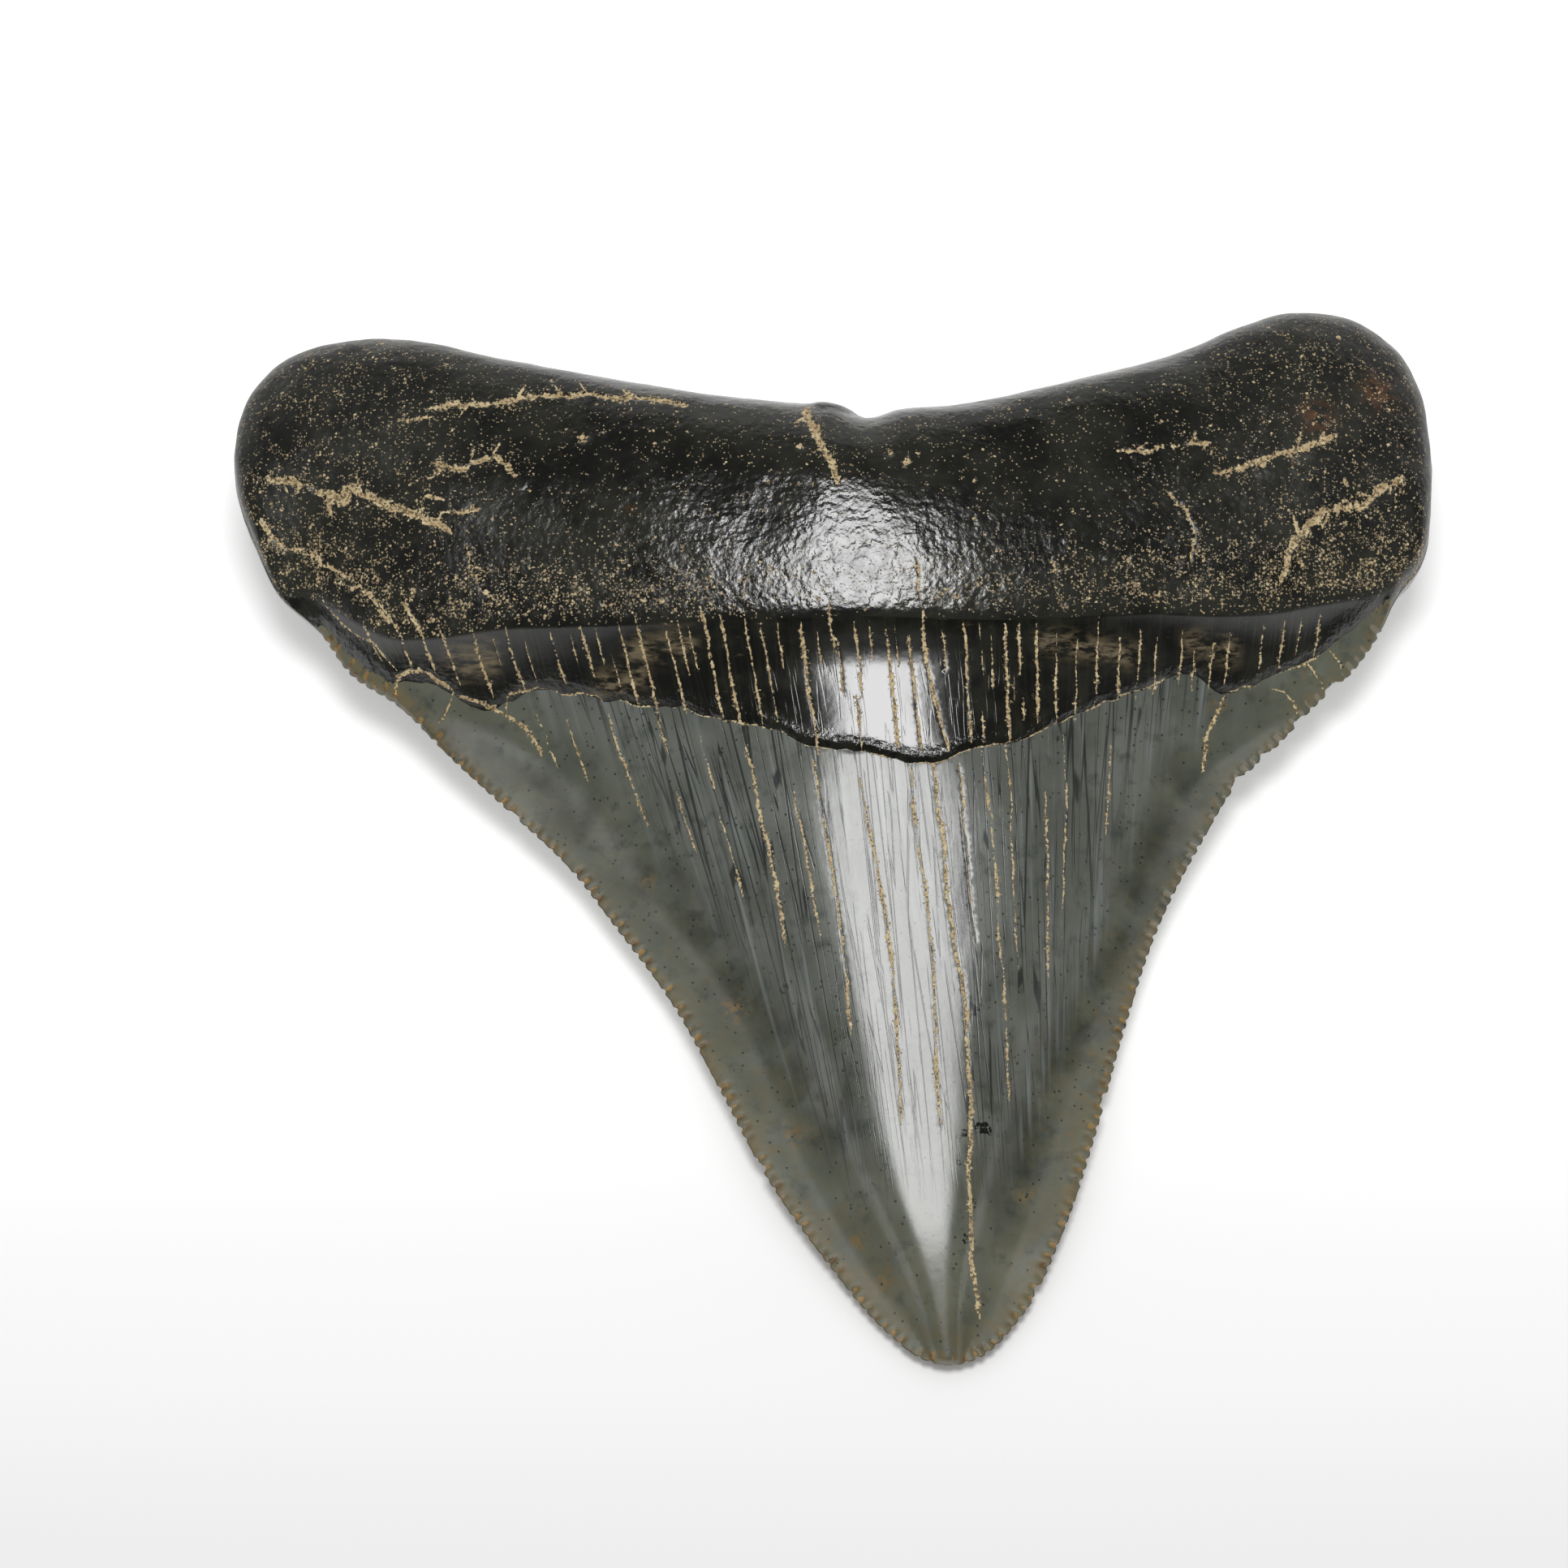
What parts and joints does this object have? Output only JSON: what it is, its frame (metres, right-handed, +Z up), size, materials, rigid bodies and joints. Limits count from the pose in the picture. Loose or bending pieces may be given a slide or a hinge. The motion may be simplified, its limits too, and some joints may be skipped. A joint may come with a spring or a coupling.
{
  "type": "fossil shark tooth",
  "caption": "Fossil megalodon tooth lying on its labial face: thick dark root, bourlette band and a serrated triangular crown with a broad ridge and fine cracks.",
  "frame": {"origin": "middle of the tooth's box, on the surface that it lies on", "axes": "+Z up, out of the lingual face; +X along the root; +Y from the tip of the crown to the root"},
  "size_m": [0.0858, 0.0784, 0.0177],
  "materials": {
    "fossil": "glossy"
  },
  "bodies": {
    "root": {"tooth": "fossil"}
  },
  "joints": []
}
